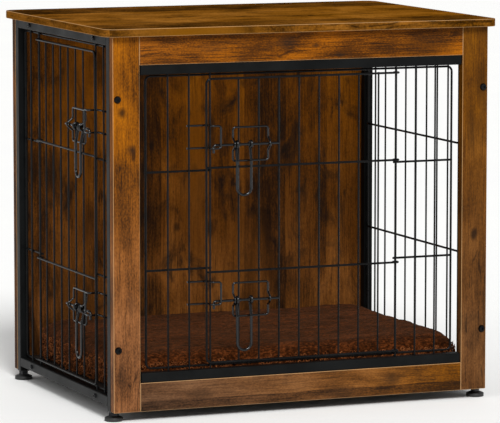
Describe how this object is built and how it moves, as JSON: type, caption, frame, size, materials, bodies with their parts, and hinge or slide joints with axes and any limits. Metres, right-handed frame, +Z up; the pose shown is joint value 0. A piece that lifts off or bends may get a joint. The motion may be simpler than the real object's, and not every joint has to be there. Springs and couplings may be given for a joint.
{
  "type": "dog crate end table",
  "caption": "End table over a wire kennel: board top and back, square-tube side frames, two hinged wire doors with slide-bolt latches, cushion and levelling feet.",
  "frame": {"origin": "on the floor under the middle of the table top", "axes": "+X to the right seen from the front, +Y to the back, +Z up; the long wire door is in the front (-Y), the second door in the left side (-X)"},
  "size_m": [0.652, 0.49, 0.6],
  "materials": {
    "top_board": "satin printed foil",
    "frame_board": "satin printed foil",
    "back_board": "satin printed foil",
    "floor_board": "matt foil",
    "dowel_wood": "raw beech",
    "cushion": "plush and curly fleece",
    "foot_plastic": "moulded",
    "insert_plastic": "moulded",
    "stud_steel": "black zinc",
    "screw_steel": "black oxide",
    "bracket_steel": "powder coat",
    "tube_steel": "powder coat",
    "wire_steel": "powder coat",
    "latch_steel": "powder coat"
  },
  "bodies": {
    "cabinet": {"back_panel": "back_board", "back_panel_screws": "screw_steel", "cushion": "cushion", "floor_board": "floor_board", "front_bar_bottom": "tube_steel", "front_bar_top": "tube_steel", "front_frame_dowels": "dowel_wood", "front_grille_left": "wire_steel", "front_grille_right": "wire_steel", "front_keepers": "latch_steel", "front_panel_rim": "wire_steel", "front_panel_tabs": "bracket_steel", "front_post_left": "frame_board", "front_post_right": "frame_board", "front_rail_bottom": "frame_board", "front_rail_top": "frame_board", "front_tab_screws": "screw_steel", "left_grille_back": "wire_steel", "left_grille_front": "wire_steel", "left_keepers": "latch_steel", "left_leg_back": "tube_steel", "left_leg_front": "tube_steel", "left_panel_rim": "wire_steel", "left_rail_bottom": "tube_steel", "left_rail_top": "tube_steel", "leg_inserts": "insert_plastic", "post_screws": "screw_steel", "right_leg_back": "tube_steel", "right_leg_front": "tube_steel", "right_rail_bottom": "tube_steel", "right_rail_top": "tube_steel", "right_wire_panel": "wire_steel", "side_rail_screws": "screw_steel", "table_top": "top_board", "top_bracket_screws": "screw_steel", "top_brackets": "bracket_steel"},
    "foot_left_back": {"foot_pad_left_back": "foot_plastic", "foot_stud_left_back": "stud_steel"},
    "foot_left_front": {"foot_pad_left_front": "foot_plastic", "foot_stud_left_front": "stud_steel"},
    "foot_right_back": {"foot_pad_right_back": "foot_plastic", "foot_stud_right_back": "stud_steel"},
    "foot_right_front": {"foot_pad_right_front": "foot_plastic", "foot_stud_right_front": "stud_steel"},
    "front_bolt_lower": {"front_bolt_lower": "latch_steel"},
    "front_bolt_upper": {"front_bolt_upper": "latch_steel"},
    "front_door": {"front_door": "wire_steel", "front_guide_lower": "latch_steel", "front_guide_upper": "latch_steel"},
    "front_handle_lower": {"front_handle_lower": "latch_steel"},
    "front_handle_upper": {"front_handle_upper": "latch_steel"},
    "left_bolt_lower": {"left_bolt_lower": "latch_steel"},
    "left_bolt_upper": {"left_bolt_upper": "latch_steel"},
    "left_door": {"left_door": "wire_steel", "left_guide_lower": "latch_steel", "left_guide_upper": "latch_steel"},
    "left_handle_lower": {"left_handle_lower": "latch_steel"},
    "left_handle_upper": {"left_handle_upper": "latch_steel"}
  },
  "joints": [
    {"name": "front_door_hinge", "type": "hinge", "parent": "cabinet", "child": "front_door", "pos_m": [0.159, -0.2243, 0.3], "axis": [0, 0, 1], "range_deg": [0, 160]},
    {"name": "left_door_hinge", "type": "hinge", "parent": "cabinet", "child": "left_door", "pos_m": [-0.3048, 0.1275, 0.3], "axis": [0, 0, -1], "range_deg": [0, 160]},
    {"name": "front_upper_bolt_slide", "type": "slide", "parent": "front_door", "child": "front_bolt_upper", "axis": [1, 0, 0], "range_m": [0, 0.026]},
    {"name": "front_upper_handle_swing", "type": "hinge", "parent": "front_bolt_upper", "child": "front_handle_upper", "pos_m": [-0.0995, -0.234, 0.4183], "axis": [-1, 0, 0], "range_deg": [-3, 175]},
    {"name": "front_lower_bolt_slide", "type": "slide", "parent": "front_door", "child": "front_bolt_lower", "axis": [1, 0, 0], "range_m": [0, 0.026]},
    {"name": "front_lower_handle_swing", "type": "hinge", "parent": "front_bolt_lower", "child": "front_handle_lower", "pos_m": [-0.0995, -0.234, 0.1787], "axis": [-1, 0, 0], "range_deg": [-3, 175]},
    {"name": "left_upper_bolt_slide", "type": "slide", "parent": "left_door", "child": "left_bolt_upper", "axis": [0, 1, 0], "range_m": [0, 0.026]},
    {"name": "left_upper_handle_swing", "type": "hinge", "parent": "left_bolt_upper", "child": "left_handle_upper", "pos_m": [-0.3145, -0.0855, 0.44], "axis": [0, 1, 0], "range_deg": [-3, 175]},
    {"name": "left_lower_bolt_slide", "type": "slide", "parent": "left_door", "child": "left_bolt_lower", "axis": [0, 1, 0], "range_m": [0, 0.026]},
    {"name": "left_lower_handle_swing", "type": "hinge", "parent": "left_bolt_lower", "child": "left_handle_lower", "pos_m": [-0.3145, -0.0855, 0.158], "axis": [0, 1, 0], "range_deg": [-3, 175]},
    {"name": "left_front_foot_turn", "type": "hinge", "parent": "cabinet", "child": "foot_left_front", "pos_m": [-0.3045, -0.2105, 0.01], "axis": [0, 0, 1], "continuous": true},
    {"name": "left_back_foot_turn", "type": "hinge", "parent": "cabinet", "child": "foot_left_back", "pos_m": [-0.3045, 0.2165, 0.01], "axis": [0, 0, 1], "continuous": true},
    {"name": "right_front_foot_turn", "type": "hinge", "parent": "cabinet", "child": "foot_right_front", "pos_m": [0.3045, -0.2105, 0.01], "axis": [0, 0, 1], "continuous": true},
    {"name": "right_back_foot_turn", "type": "hinge", "parent": "cabinet", "child": "foot_right_back", "pos_m": [0.3045, 0.2165, 0.01], "axis": [0, 0, 1], "continuous": true}
  ]
}
